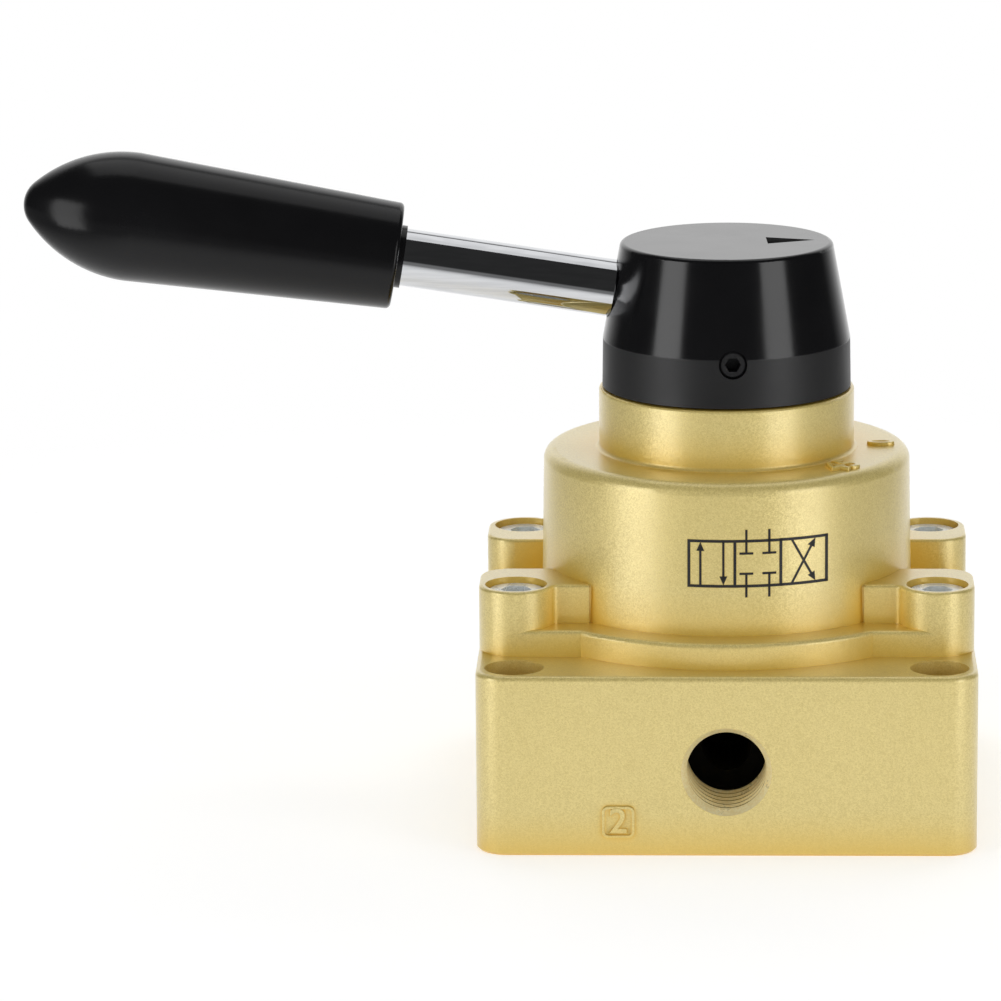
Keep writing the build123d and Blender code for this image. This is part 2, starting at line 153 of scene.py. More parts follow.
def makeWorld():
    world = bpy.data.worlds.new("studioRoom")
    bpy.context.scene.world = world
    world.use_nodes = True
    tree = world.node_tree
    tree.nodes.clear()
    coords = addNode(tree, "ShaderNodeTexCoord", (-1200, 0))
    parts = addNode(tree, "ShaderNodeSeparateXYZ", (-1000, 0))
    wire(tree, coords.outputs["Generated"], parts.inputs[0])
    back = mathNode(tree, "MULTIPLY", (-800, -100), parts.outputs["Y"], -1.0)
    azimuth = mathNode(tree, "ARCTAN2", (-620, -60), parts.outputs["X"], back)
    spread = mathNode(tree, "ABSOLUTE", (-440, -60), azimuth)
    rise = mathNode(tree, "ARCSINE", (-620, 120), parts.outputs["Z"])
    wallEdge, wallTop, tableEdge = (
        [math.radians(value) for value in studio[label]] for label in ("wallEdge", "wallTop", "tableEdge")
    )
    behind = rampNode(tree, spread, (-260, -60), *wallEdge)
    level = rampNode(tree, rise, (-260, 160), *wallTop, studio["wall"], studio["wallHigh"])
    wall = mathNode(tree, "MULTIPLY", (-80, 40), behind, level)
    below = rampNode(tree, rise, (-260, 340), *tableEdge, studio["table"], studio["dark"])
    room = mathNode(tree, "MAXIMUM", (80, 40), wall, below)
    path = addNode(tree, "ShaderNodeLightPath", (-80, -260))
    mirrored = mathNode(
        tree, "MAXIMUM", (120, -200), path.outputs["Is Glossy Ray"], path.outputs["Is Transmission Ray"]
    )
    chosen = addNode(tree, "ShaderNodeMix", (300, 0), data_type="FLOAT")
    chosen.inputs["A"].default_value = studio["ambient"]
    wire(tree, mirrored, chosen.inputs["Factor"])
    wire(tree, room, chosen.inputs["B"])
    shown = mathNode(tree, "MAXIMUM", (480, 0), chosen.outputs["Result"], path.outputs["Is Camera Ray"])
    background = addNode(tree, "ShaderNodeBackground", (660, 0))
    background.inputs["Color"].default_value = (1, 1, 1, 1)
    wire(tree, shown, background.inputs["Strength"])
    output = addNode(tree, "ShaderNodeOutputWorld", (840, 0))
    wire(tree, background.outputs[0], output.inputs["Surface"])


def addSoftBox(name, azimuth, elevation, width, height, glow, seen):
    azimuth = math.radians(azimuth)
    elevation = math.radians(elevation)
    heading = Vector((
        math.sin(azimuth) * math.cos(elevation),
        -math.cos(azimuth) * math.cos(elevation),
        math.sin(elevation),
    ))
    middle = Vector((0, 0, studio["aimHeight"]))
    lamp = bpy.data.lights.new(name, "AREA")
    lamp.shape = "RECTANGLE"
    lamp.size = width
    lamp.size_y = height
    lamp.energy = math.pi * width * height * glow
    holder = bpy.data.objects.new(name, lamp)
    bpy.context.scene.collection.objects.link(holder)
    holder.location = middle + heading  # one metre away
    holder.rotation_euler = heading.to_track_quat("Z", "Y").to_euler()
    holder.visible_glossy = seen  # a fill adds no reflection of its own


def makeFloor():
    bpy.ops.object.select_all(action="DESELECT")
    bpy.ops.mesh.primitive_circle_add(
        vertices=studio["floorSides"], radius=studio["floorSize"] / 2, fill_type="NGON",
        location=(0, 0, -studio["floorDrop"]),
    )
    floor = bpy.context.object
    floor.name = "studioFloor"
    material = bpy.data.materials.new("studioFloor")
    material.use_nodes = True
    tree = material.node_tree
    tree.nodes.clear()
    coords = addNode(tree, "ShaderNodeTexCoord", (-900, 0))
    length = addNode(tree, "ShaderNodeVectorMath", (-700, 0), operation="LENGTH")
    wire(tree, coords.outputs["Object"], length.inputs[0])
    away = rampNode(tree, length.outputs["Value"], (-500, 0), *studio["floorClear"])
    path = addNode(tree, "ShaderNodeLightPath", (-900, -300))
    diffuse = addNode(tree, "ShaderNodeBsdfDiffuse", (-100, -200))
    diffuse.inputs["Color"].default_value = (*studio["floorColour"], 1)
    seenGlow, glossGlow = studio["floorGlow"]
    seen = mathNode(tree, "MULTIPLY", (-500, -300), path.outputs["Is Camera Ray"], seenGlow)
    mirrored = mathNode(tree, "MULTIPLY", (-500, -460), path.outputs["Is Glossy Ray"], glossGlow)
    lift = mathNode(tree, "ADD", (-300, -400), seen, mirrored)
    glow = addNode(tree, "ShaderNodeEmission", (-100, -340))
    wire(tree, lift, glow.inputs["Strength"])
    lit = addNode(tree, "ShaderNodeAddShader", (80, -240))
    wire(tree, diffuse.outputs[0], lit.inputs[0])
    wire(tree, glow.outputs[0], lit.inputs[1])
    clear = addNode(tree, "ShaderNodeBsdfTransparent", (-100, -80))
    blend = addNode(tree, "ShaderNodeMixShader", (260, -100))
    wire(tree, away, blend.inputs["Fac"])
    wire(tree, lit.outputs[0], blend.inputs[1])
    wire(tree, clear.outputs[0], blend.inputs[2])
    output = addNode(tree, "ShaderNodeOutputMaterial", (440, -100))
    wire(tree, blend.outputs[0], output.inputs["Surface"])
    floor.data.materials.append(material)


makeWorld()
for boxName, boxData in softBoxes.items():
    addSoftBox(boxName, *boxData)
makeFloor()
print("studio built")


# shader groups shared by the materials
def newGroup(name, inputs, outputs):
    group = bpy.data.node_groups.new(name, "ShaderNodeTree")
    kinds = {"value": "NodeSocketFloat", "colour": "NodeSocketColor", "vector": "NodeSocketVector"}
    for label, kind, start in inputs:
        socket = group.interface.new_socket(label, in_out="INPUT", socket_type=kinds[kind])
        if start is not None:
            socket.default_value = start
    for label, kind in outputs:
        group.interface.new_socket(label, in_out="OUTPUT", socket_type=kinds[kind])
    entry = addNode(group, "NodeGroupInput", (-1000, 0))
    leave = addNode(group, "NodeGroupOutput", (900, 0))
    return group, entry, leave


def makeFlakeGroup():
    # metal flakes in paint: a tilt for each flake, and how bright it is
    group, entry, leave = newGroup(
        "metalFlakes",
        [("Coords", "vector", None), ("Size", "value", 0.0003), ("Tilt", "value", 0.1)],
        [("Shade", "value"), ("Normal", "vector")],
    )
    scale = mathNode(group, "DIVIDE", (-800, -120), 1.0, entry.outputs["Size"])
    cells = addNode(group, "ShaderNodeTexVoronoi", (-600, 0), feature="F1")
    wire(group, entry.outputs["Coords"], cells.inputs["Vector"])
    wire(group, scale, cells.inputs["Scale"])
    centred = addNode(group, "ShaderNodeVectorMath", (-400, 0), operation="SUBTRACT")
    wire(group, cells.outputs["Color"], centred.inputs[0])
    centred.inputs[1].default_value = (0.5, 0.5, 0.5)
    leaned = addNode(group, "ShaderNodeVectorMath", (-200, 0), operation="SCALE")
    wire(group, centred.outputs["Vector"], leaned.inputs[0])
    wire(group, entry.outputs["Tilt"], leaned.inputs["Scale"])
    surface = addNode(group, "ShaderNodeNewGeometry", (-400, -260))
    summed = addNode(group, "ShaderNodeVectorMath", (0, 0), operation="ADD")
    wire(group, surface.outputs["Normal"], summed.inputs[0])
    wire(group, leaned.outputs["Vector"], summed.inputs[1])
    unit = addNode(group, "ShaderNodeVectorMath", (200, 0), operation="NORMALIZE")
    wire(group, summed.outputs["Vector"], unit.inputs[0])
    wire(group, unit.outputs["Vector"], leave.inputs["Normal"])
    split = addNode(group, "ShaderNodeSeparateColor", (-200, 220))
    wire(group, cells.outputs["Color"], split.inputs[0])
    wire(group, split.outputs[0], leave.inputs["Shade"])
    return group


def makeSkinGroup():
    # the fine orange peel of paint or moulded plastic, as a height
    group, entry, leave = newGroup(
        "surfaceSkin",
        [
            ("Coords", "vector", None), ("Size", "value", 0.001), ("Detail", "value", 3.0),
            ("Pits", "value", 0.2),
        ],
        [("Height", "value")],
    )
    scale = mathNode(group, "DIVIDE", (-800, -120), 1.0, entry.outputs["Size"])
    waves = addNode(group, "ShaderNodeTexNoise", (-600, 60))
    wire(group, entry.outputs["Coords"], waves.inputs["Vector"])
    wire(group, scale, waves.inputs["Scale"])
    wire(group, entry.outputs["Detail"], waves.inputs["Detail"])
    waves.inputs["Roughness"].default_value = 0.55
    pitScale = mathNode(group, "MULTIPLY", (-800, -260), scale, 0.22)
    pits = addNode(group, "ShaderNodeTexVoronoi", (-600, -220), feature="SMOOTH_F1")
    wire(group, entry.outputs["Coords"], pits.inputs["Vector"])
    wire(group, pitScale, pits.inputs["Scale"])
    hole = rampNode(group, pits.outputs["Distance"], (-400, -220), 0.05, 0.16, 1.0, 0.0)
    sunk = mathNode(group, "MULTIPLY", (-200, -220), hole, entry.outputs["Pits"])
    height = mathNode(group, "SUBTRACT", (0, 0), waves.outputs["Fac"], sunk)
    wire(group, height, leave.inputs["Height"])
    return group


def makeHazeGroup():
    # slow cloudy variation, as on a handled or sprayed surface
    group, entry, leave = newGroup(
        "handlingHaze",
        [("Coords", "vector", None), ("Size", "value", 0.02), ("Low", "value", 0.0), ("High", "value", 1.0)],
        [("Value", "value")],
    )
    scale = mathNode(group, "DIVIDE", (-800, -120), 1.0, entry.outputs["Size"])
    clouds = addNode(group, "ShaderNodeTexNoise", (-600, 0))
    wire(group, entry.outputs["Coords"], clouds.inputs["Vector"])
    wire(group, scale, clouds.inputs["Scale"])
    clouds.inputs["Detail"].default_value = 4.0
    span = addNode(group, "ShaderNodeMapRange", (-300, 0))
    span.inputs["From Min"].default_value = 0.3
    span.inputs["From Max"].default_value = 0.7
    wire(group, clouds.outputs["Fac"], span.inputs["Value"])
    wire(group, entry.outputs["Low"], span.inputs["To Min"])
    wire(group, entry.outputs["High"], span.inputs["To Max"])
    wire(group, span.outputs["Result"], leave.inputs["Value"])
    return group


def makeBrushGroup():
    # turned or ground marks that run round an axis or along one way, as a height
    group, entry, leave = newGroup(
        "toolMarks",
        [("Coords", "vector", None), ("Stretch", "vector", (1.0, 1.0, 1.0)), ("Size", "value", 0.0002)],
        [("Height", "value"), ("Shade", "value")],
    )
    pulled = addNode(group, "ShaderNodeVectorMath", (-800, 0), operation="MULTIPLY")
    wire(group, entry.outputs["Coords"], pulled.inputs[0])
    wire(group, entry.outputs["Stretch"], pulled.inputs[1])
    scale = mathNode(group, "DIVIDE", (-800, -200), 1.0, entry.outputs["Size"])
    lines = addNode(group, "ShaderNodeTexNoise", (-560, 0))
    wire(group, pulled.outputs["Vector"], lines.inputs["Vector"])
    wire(group, scale, lines.inputs["Scale"])
    lines.inputs["Detail"].default_value = 2.0
    wire(group, lines.outputs["Fac"], leave.inputs["Height"])
    shade = rampNode(group, lines.outputs["Fac"], (-300, -160), 0.3, 0.7)
    wire(group, shade, leave.inputs["Shade"])
    return group


flakeGroup = makeFlakeGroup()
skinGroup = makeSkinGroup()
hazeGroup = makeHazeGroup()
brushGroup = makeBrushGroup()
print("shader groups built")


# materials
def newMaterial(name):
    material = bpy.data.materials.new(name)
    material.use_nodes = True
    tree = material.node_tree
    shader = tree.nodes["Principled BSDF"]
    shader.location = (500, 0)
    tree.nodes["Material Output"].location = (800, 0)
    coords = addNode(tree, "ShaderNodeTexCoord", (-900, 0))
    return material, tree, shader, coords.outputs["Object"]


def addGroup(tree, group, place, coords, **values):
    node = addNode(tree, "ShaderNodeGroup", place)
    node.node_tree = group
    wire(tree, coords, node.inputs["Coords"])
    for label, value in values.items():
        node.inputs[label].default_value = value
    return node


def addBump(tree, height, place, strength, distance, normal=None):
    node = addNode(tree, "ShaderNodeBump", place)
    node.inputs["Strength"].default_value = strength
    node.inputs["Distance"].default_value = distance
    wire(tree, height, node.inputs["Height"])
    if normal is not None:
        wire(tree, normal, node.inputs["Normal"])
    return node.outputs["Normal"]


def mixColours(tree, factor, place, first, second):
    # each colour is three numbers or another node's output
    node = addNode(tree, "ShaderNodeMix", place, data_type="RGBA")
    wire(tree, factor, node.inputs["Factor"])
    for label, colour in (("A", first), ("B", second)):
        if isinstance(colour, tuple):
            node.inputs[label].default_value = (*colour, 1)
        else:
            wire(tree, colour, node.inputs[label])
    return node.outputs["Result"]


goldPaint = {
    "dark": (0.70, 0.550, 0.175),
    "light": (0.88, 0.725, 0.275),
    "corner": (0.84, 0.560, 0.070),  # painted shade: the darker, deeper gold put into corners and recesses
    "cornerShadeReach": 7.0 * mm,
    "cornerShadeFrom": (0.50, 0.95),  # how open the surface is, from all painted corner shade to none
    "flake": 0.00016,
    "tilt": 0.14,
    "metallic": 0.35,
    "specular": 0.8,
    "roughness": (0.34, 0.40),
    "haze": 0.012,
    "peel": 0.0011,
    "pits": 0.1,
    "lift": 0.35,
    "peelHeight": 0.00005,
    "coat": 0.8,
    "coatRoughness": 0.29,
    "coatIndex": 1.7,
    "bore": (0.0025, 0.0025, 0.002),  # painted shade: near black deep inside the ports, where little light gets
}


def addBoreShadeMask(tree, coords):
    # painted shade mask: one inside the four port bores, past the screw thread
    spots = addNode(tree, "ShaderNodeSeparateXYZ", (-900, 620))
    wire(tree, coords, spots.inputs[0])
    flat = [mathNode(tree, "ABSOLUTE", (-740, 700 - 120 * row), spots.outputs[row]) for row in (0, 1)]
    across = mathNode(tree, "MINIMUM", (-580, 700), flat[0], flat[1])
    along = mathNode(tree, "MAXIMUM", (-580, 580), flat[0], flat[1])
    up = mathNode(tree, "SUBTRACT", (-580, 460), spots.outputs[2], port["height"])
    acrossPart = mathNode(tree, "MULTIPLY", (-420, 700), across, across)
    upPart = mathNode(tree, "MULTIPLY", (-420, 460), up, up)
    summed = mathNode(tree, "ADD", (-260, 600), acrossPart, upPart)
    away = mathNode(tree, "SQRT", (-100, 600), summed)
    near = mathNode(tree, "LESS_THAN", (60, 600), away, port["wall"] + port["spare"])
    deep = rampNode(tree, along, (60, 460), side - port["dark"][1], side - port["dark"][0], 1.0, 0.0)
    return mathNode(tree, "MULTIPLY", (220, 540), near, deep)


def makeGoldPaint(name, bored):
    material, tree, shader, coords = newMaterial(name)
    flakes = addGroup(tree, flakeGroup, (-600, 200), coords, Size=goldPaint["flake"], Tilt=goldPaint["tilt"])
    colour = mixColours(tree, flakes.outputs["Shade"], (-300, 300), goldPaint["dark"], goldPaint["light"])
    # painted shade: ambient occlusion mixes the darker, deeper gold into corners and recesses, standing in
    # for shade and gold-on-gold interreflection
    opening = addNode(tree, "ShaderNodeAmbientOcclusion", (-300, 520), samples=4)
    opening.inputs["Distance"].default_value = goldPaint["cornerShadeReach"]
    unshaded = rampNode(tree, opening.outputs["AO"], (-120, 520), *goldPaint["cornerShadeFrom"])
    colour = mixColours(tree, unshaded, (60, 300), goldPaint["corner"], colour)
    if bored:
        # painted shade: past the thread the bores turn near black, with no coat and full roughness
        inside = addBoreShadeMask(tree, coords)
        colour = mixColours(tree, inside, (240, 320), colour, goldPaint["bore"])
        outside = mathNode(tree, "SUBTRACT", (240, 160), 1.0, inside)
        coat = mathNode(tree, "MULTIPLY", (400, 160), outside, goldPaint["coat"])
        wire(tree, coat, shader.inputs["Coat Weight"])
    wire(tree, colour, shader.inputs["Base Color"])
    haze = addGroup(
        tree, hazeGroup, (-600, -80), coords,
        Size=goldPaint["haze"], Low=goldPaint["roughness"][0], High=goldPaint["roughness"][1],
    )
    roughness = haze.outputs["Value"]
    if bored:
        roughness = mathNode(tree, "MAXIMUM", (240, 20), roughness, inside)
    wire(tree, roughness, shader.inputs["Roughness"])
    skin = addGroup(
        tree, skinGroup, (-600, -320), coords, Size=goldPaint["peel"], Detail=3.0, Pits=goldPaint["pits"]
    )
    normal = addBump(
        tree, skin.outputs["Height"], (0, -300), goldPaint["lift"], goldPaint["peelHeight"],
        flakes.outputs["Normal"],
    )
    wire(tree, normal, shader.inputs["Normal"])
    shader.inputs["Metallic"].default_value = goldPaint["metallic"]
    shader.inputs["Specular IOR Level"].default_value = goldPaint["specular"]
    if not bored:
        shader.inputs["Coat Weight"].default_value = goldPaint["coat"]
    shader.inputs["Coat Roughness"].default_value = goldPaint["coatRoughness"]
    shader.inputs["Coat IOR"].default_value = goldPaint["coatIndex"]
    return material


blackPlastics = {
    "gripGloss": {
        "colour": (0.005, 0.005, 0.0055), "roughness": (0.17, 0.22),
        "peel": 0.0030, "lift": 0.25, "specular": 0.26,
    },
    "inkBlack": {
        "colour": (0.012, 0.012, 0.012), "roughness": (0.45, 0.55),
        "peel": 0.0006, "lift": 0.3, "specular": 0.5,
    },
    "pointerBlack": {
        "colour": (0.002, 0.002, 0.002), "roughness": (0.80, 0.90),
        "peel": 0.0006, "lift": 0.3, "specular": 0.05,
    },
    "sealRubber": {
        "colour": (0.020, 0.020, 0.020), "roughness": (0.60, 0.75),
        "peel": 0.0008, "lift": 0.5, "specular": 0.5,
    },
}
plasticSkin = {
    "pale": 1.5,  # the clouded colour over the plain one
    "cloud": 0.015,
    "haze": 0.009,
    "peelHeight": 0.00003,
}
knobSkin = {
    "colour": (0.0045, 0.0045, 0.005),
    "cone": (0.13, 0.18),  # roughness above the crease
    "skirt": (0.40, 0.48),  # and below it
    "crease": (-0.3 * mm, 0.1 * mm),
    "creaseHeight": 7.15 * mm,
    "cloud": 0.012,
    "peel": 0.0040,
    "lift": 0.25,
}


def addClouds(tree, shader, coords, size, dark):
    cloud = addGroup(tree, hazeGroup, (-600, 240), coords, Size=size, Low=0.0, High=1.0)
    pale = tuple(channel * plasticSkin["pale"] for channel in dark)
    colour = mixColours(tree, cloud.outputs["Value"], (-300, 240), dark, pale)
    wire(tree, colour, shader.inputs["Base Color"])


def addPeel(tree, shader, coords, size, lift):
    skin = addGroup(tree, skinGroup, (-600, -460), coords, Size=size, Detail=2.0, Pits=0.0)
    normal = addBump(tree, skin.outputs["Height"], (0, -300), lift, plasticSkin["peelHeight"])
    wire(tree, normal, shader.inputs["Normal"])


def makeBlackPlastic(name, data):
    material, tree, shader, coords = newMaterial(name)
    addClouds(tree, shader, coords, plasticSkin["cloud"], data["colour"])
    low, high = data["roughness"]
    haze = addGroup(tree, hazeGroup, (-600, 0), coords, Size=plasticSkin["haze"], Low=low, High=high)
    wire(tree, haze.outputs["Value"], shader.inputs["Roughness"])
    addPeel(tree, shader, coords, data["peel"], data["lift"])
    shader.inputs["Specular IOR Level"].default_value = data["specular"]
    return material


def makeKnobPlastic():
    # a polished cone over a duller skirt
    material, tree, shader, coords = newMaterial("knobGloss")
    addClouds(tree, shader, coords, knobSkin["cloud"], knobSkin["colour"])
    spots = addNode(tree, "ShaderNodeSeparateXYZ", (-600, 60))
    wire(tree, coords, spots.inputs[0])
    crease = knobLow.z + knobSkin["creaseHeight"]
    edges = [crease + step for step in knobSkin["crease"]]
    upper = rampNode(tree, spots.outputs[2], (-420, 60), *edges)
    rough = [
        addGroup(
            tree, hazeGroup, (-600, -60 - 180 * row), coords, Size=plasticSkin["haze"], Low=low, High=high
        )
        for row, (low, high) in enumerate((knobSkin["skirt"], knobSkin["cone"]))
    ]
    blend = addNode(tree, "ShaderNodeMix", (-240, -60), data_type="FLOAT")
    wire(tree, upper, blend.inputs["Factor"])
    wire(tree, rough[0].outputs["Value"], blend.inputs["A"])
    wire(tree, rough[1].outputs["Value"], blend.inputs["B"])
    wire(tree, blend.outputs["Result"], shader.inputs["Roughness"])
    addPeel(tree, shader, coords, knobSkin["peel"], knobSkin["lift"])
    return material


metalSkin = {"haze": 0.004, "lift": 0.6}
metals = {
    "chromePlate": {
        "dark": (0.60, 0.61, 0.63), "light": (0.68, 0.69, 0.71), "roughness": (0.03, 0.06),
        "stretch": (0.05, 1, 1), "mark": 0.0006, "depth": 0.000002, "metallic": 1.0,
    },
    "zincScrew": {
        "dark": (0.80, 0.85, 0.87), "light": (0.93, 0.96, 0.98), "roughness": (0.20, 0.30),
        "stretch": (1, 1, 1), "mark": 0.0004, "depth": 0.00002, "metallic": 0.35,
    },
    "blackSteel": {
        "dark": (0.006, 0.006, 0.007), "light": (0.014, 0.014, 0.015), "roughness": (0.40, 0.55),
        "stretch": (1, 1, 1), "mark": 0.0003, "depth": 0.00002, "metallic": 0.3,
    },
    "groundSteel": {
        "dark": (0.42, 0.43, 0.45), "light": (0.60, 0.61, 0.63), "roughness": (0.22, 0.34),
        "stretch": (1, 1, 12), "mark": 0.0005, "depth": 0.00001, "metallic": 1.0,
    },
    "springSteel": {
        "dark": (0.30, 0.31, 0.33), "light": (0.46, 0.47, 0.49), "roughness": (0.25, 0.40),
        "stretch": (1, 1, 1), "mark": 0.0003, "depth": 0.00001, "metallic": 1.0,
    },
    "lappedAluminium": {
        "dark": (0.62, 0.63, 0.65), "light": (0.76, 0.77, 0.79), "roughness": (0.25, 0.36),
        "stretch": (1, 1, 1), "mark": 0.0004, "depth": 0.00001, "metallic": 1.0,
    },
    "bearingBronze": {
        "dark": (0.45, 0.28, 0.12), "light": (0.62, 0.42, 0.20), "roughness": (0.28, 0.42),
        "stretch": (1, 1, 1), "mark": 0.0004, "depth": 0.00002, "metallic": 1.0,
    },
    "cutMetal": {
        "dark": (0.92, 0.77, 0.38), "light": (0.98, 0.88, 0.54), "roughness": (0.26, 0.36),
        "stretch": (1, 1, 1), "mark": 0.0003, "depth": 0.00001, "metallic": 0.30,
    },
    "slidePolymer": {
        "dark": (0.70, 0.68, 0.62), "light": (0.82, 0.80, 0.74), "roughness": (0.45, 0.55),
        "stretch": (1, 1, 1), "mark": 0.0008, "depth": 0.00002, "metallic": 0.0,
    },
}


def makeMetal(name, data):
    material, tree, shader, coords = newMaterial(name)
    marks = addGroup(tree, brushGroup, (-600, 240), coords, Stretch=data["stretch"], Size=data["mark"])
    colour = mixColours(tree, marks.outputs["Shade"], (-300, 300), data["dark"], data["light"])
    wire(tree, colour, shader.inputs["Base Color"])
    low, high = data["roughness"]
    haze = addGroup(tree, hazeGroup, (-600, 0), coords, Size=metalSkin["haze"], Low=low, High=high)
    wire(tree, haze.outputs["Value"], shader.inputs["Roughness"])
    normal = addBump(tree, marks.outputs["Height"], (0, -260), metalSkin["lift"], data["depth"])
    wire(tree, normal, shader.inputs["Normal"])
    shader.inputs["Metallic"].default_value = data["metallic"]
    return material


materials = {
    "goldFlakePaint": makeGoldPaint("goldFlakePaint", False),
    "goldBodyPaint": makeGoldPaint("goldBodyPaint", True),
    "knobGloss": makeKnobPlastic(),
}
for plasticName, plasticData in blackPlastics.items():
    materials[plasticName] = makeBlackPlastic(plasticName, plasticData)
for metalName, metalData in metals.items():
    materials[metalName] = makeMetal(metalName, metalData)

finishOf = {
    "valve_body": "goldBodyPaint",
    "cover": "goldFlakePaint",
    "cover_screws": "zincScrew",
    "cover_seal": "sealRubber",
    "port_seal_rings": "sealRubber",
    "seat_plate": "groundSteel",
    "seat_dowels": "groundSteel",
    "rotor_disc": "lappedAluminium",
    "rotor_spring": "springSteel",
    "drive_pins": "groundSteel",
    "spindle": "groundSteel",
    "detent_springs": "springSteel",
    "detent_balls": "groundSteel",
    "thrust_washer": "slidePolymer",
    "spindle_bush": "bearingBronze",
    "spindle_seal_rings": "sealRubber",
    "retaining_ring": "springSteel",
    "knob": "knobGloss",
    "knob_set_screw": "blackSteel",
    "lever_rod": "chromePlate",
    "lever_grip": "gripGloss",
    "grip_ferrule": "gripGloss",
}
for nodeName, finishName in finishOf.items():
    cad[nodeName].data.materials.clear()
    cad[nodeName].data.materials.append(materials[finishName])
print("materials assigned")


# modelling helpers
def startClean():
    if bpy.context.object and bpy.context.object.mode != "OBJECT":
        bpy.ops.object.mode_set(mode="OBJECT")
    bpy.ops.object.select_all(action="DESELECT")


def pickOnly(piece):
    startClean()
    piece.select_set(True)
    bpy.context.view_layer.objects.active = piece


def settle(piece):
    pickOnly(piece)
    bpy.ops.object.transform_apply(location=True, rotation=True, scale=True)


def pickFaces(piece, wanted):
    # in edit mode, selects the faces whose centre and normal pass the test
    mesh = bmesh.from_edit_mesh(piece.data)
    bpy.ops.mesh.select_all(action="DESELECT")
    bpy.ops.mesh.select_mode(type="FACE")
    for face in mesh.faces:
        face.select_set(wanted(face.calc_center_median(), face.normal))
    bmesh.update_edit_mesh(piece.data)


def pickEdges(piece, wanted):
    mesh = bmesh.from_edit_mesh(piece.data)
    bpy.ops.mesh.select_all(action="DESELECT")
    bpy.ops.mesh.select_mode(type="EDGE")
    for edge in mesh.edges:
        edge.select_set(wanted(*(vert.co for vert in edge.verts)))
    bmesh.update_edit_mesh(piece.data)


def applyModifier(piece, kind, **settings):
    pickOnly(piece)
    modifier = piece.modifiers.new(kind.lower(), kind)
    for key, value in settings.items():
        setattr(modifier, key, value)
    bpy.ops.object.modifier_apply(modifier=modifier.name)


def finish(piece, name, body, material):
    settle(piece)
    piece.name = name
    piece.data.name = name
    piece.data.materials.clear()
    piece.data.materials.append(materials[material])
    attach(piece, body)


def copyTurned(piece, angle):
    # a copy with its own mesh, turned about the valve's axis
    twin = piece.copy()
    twin.data = piece.data.copy()
    bpy.context.scene.collection.objects.link(twin)
    twin.data.transform(Matrix.Rotation(math.radians(angle), 4, "Z"))
    return twin


def textMesh(body, size, thickness, bevel):
    startClean()
    bpy.ops.object.text_add()
    words = bpy.context.object
    words.data.body = body
    words.data.size = size
    words.data.extrude = thickness / 2
    words.data.bevel_depth = bevel
    words.data.bevel_resolution = 1
    words.data.align_x = "CENTER"
    words.data.align_y = "CENTER"
    bpy.ops.object.convert(target="MESH")
    bpy.ops.object.mode_set(mode="EDIT")
    bpy.ops.mesh.select_all(action="SELECT")
    bpy.ops.mesh.remove_doubles(threshold=1e-6)
    bpy.ops.mesh.normals_make_consistent(inside=False)
    bpy.ops.object.mode_set(mode="OBJECT")
    return bpy.context.object


# the screw thread in each port, and the turned chamfer at its mouth
portTurns = {"Front": 0, "Right": 90, "Rear": 180, "Left": 270}


def makeThread():
    startClean()
    bpy.ops.mesh.primitive_plane_add(size=1)
    ridge = bpy.context.object
    rootHalf = port["root"] * port["pitch"]
    crestHalf = port["tip"] * port["pitch"]
    outer = port["wall"] + port["sunk"]
    depth = outer - port["crest"]
    bpy.ops.object.mode_set(mode="EDIT")
    bpy.ops.transform.resize(value=(depth, 2 * rootHalf, 1))
    pickEdges(ridge, lambda a, b: a.x < 0 and b.x < 0)
    bpy.ops.transform.resize(value=(1, crestHalf / rootHalf, 1))
    bpy.ops.mesh.select_all(action="SELECT")
    bpy.ops.transform.translate(value=((outer + port["crest"]) / 2, 0, 0))
    bpy.ops.object.mode_set(mode="OBJECT")
    applyModifier(
        ridge, "SCREW", axis="Y", angle=2 * math.pi, screw_offset=port["pitch"], iterations=port["turns"],
        steps=port["steps"], render_steps=port["steps"], use_smooth_shade=True,
    )
    bpy.ops.object.mode_set(mode="EDIT")
    bpy.ops.mesh.select_all(action="DESELECT")
    bpy.ops.mesh.select_mode(type="EDGE")
    bpy.ops.mesh.select_non_manifold()
    bpy.ops.mesh.edge_face_add()
    bpy.ops.mesh.select_all(action="SELECT")
    bpy.ops.mesh.normals_make_consistent(inside=False)
    bpy.ops.object.mode_set(mode="OBJECT")
    bpy.ops.object.shade_smooth_by_angle(angle=math.radians(35))
    ridge.location = (0, -side + port["start"], port["height"])
    return ridge


def makeMouthRing():
    startClean()
    slope = port["mouth"] - port["crest"]
    rings = [  # radius and depth of each loop, round the section
        (port["mouth"] - 0.02 * mm, -0.01 * mm),
        (port["crest"] + 0.04 * mm, slope - 0.07 * mm),
        (port["crest"], slope),
        (port["crest"] + 0.03 * mm, slope + 0.10 * mm),
        (port["wall"] + 0.10 * mm, slope + 0.45 * mm),
    ]
    bpy.ops.mesh.primitive_circle_add(vertices=128, radius=rings[0][0], fill_type="NOTHING")
    ring = bpy.context.object
    bpy.ops.object.mode_set(mode="EDIT")
    bpy.ops.mesh.select_all(action="SELECT")
    bpy.ops.transform.translate(value=(0, 0, -rings[0][1]))
    for (radius, depth), (nextRadius, nextDepth) in zip(rings, rings[1:]):
        bpy.ops.mesh.extrude_edges_move(TRANSFORM_OT_translate={"value": (0, 0, depth - nextDepth)})
        factor = nextRadius / radius
        bpy.ops.transform.resize(value=(factor, factor, 1), center_override=(0, 0, 0))
    bpy.ops.mesh.select_all(action="DESELECT")
    bpy.ops.mesh.select_non_manifold()
    bpy.ops.mesh.bridge_edge_loops()
    bpy.ops.mesh.select_all(action="SELECT")
    bpy.ops.mesh.normals_make_consistent(inside=False)
    bpy.ops.object.mode_set(mode="OBJECT")
    bpy.ops.object.shade_smooth_by_angle(angle=math.radians(30))
    ring.rotation_euler = (math.pi / 2, 0, 0)
    ring.location = (0, -side, port["height"])
    return ring


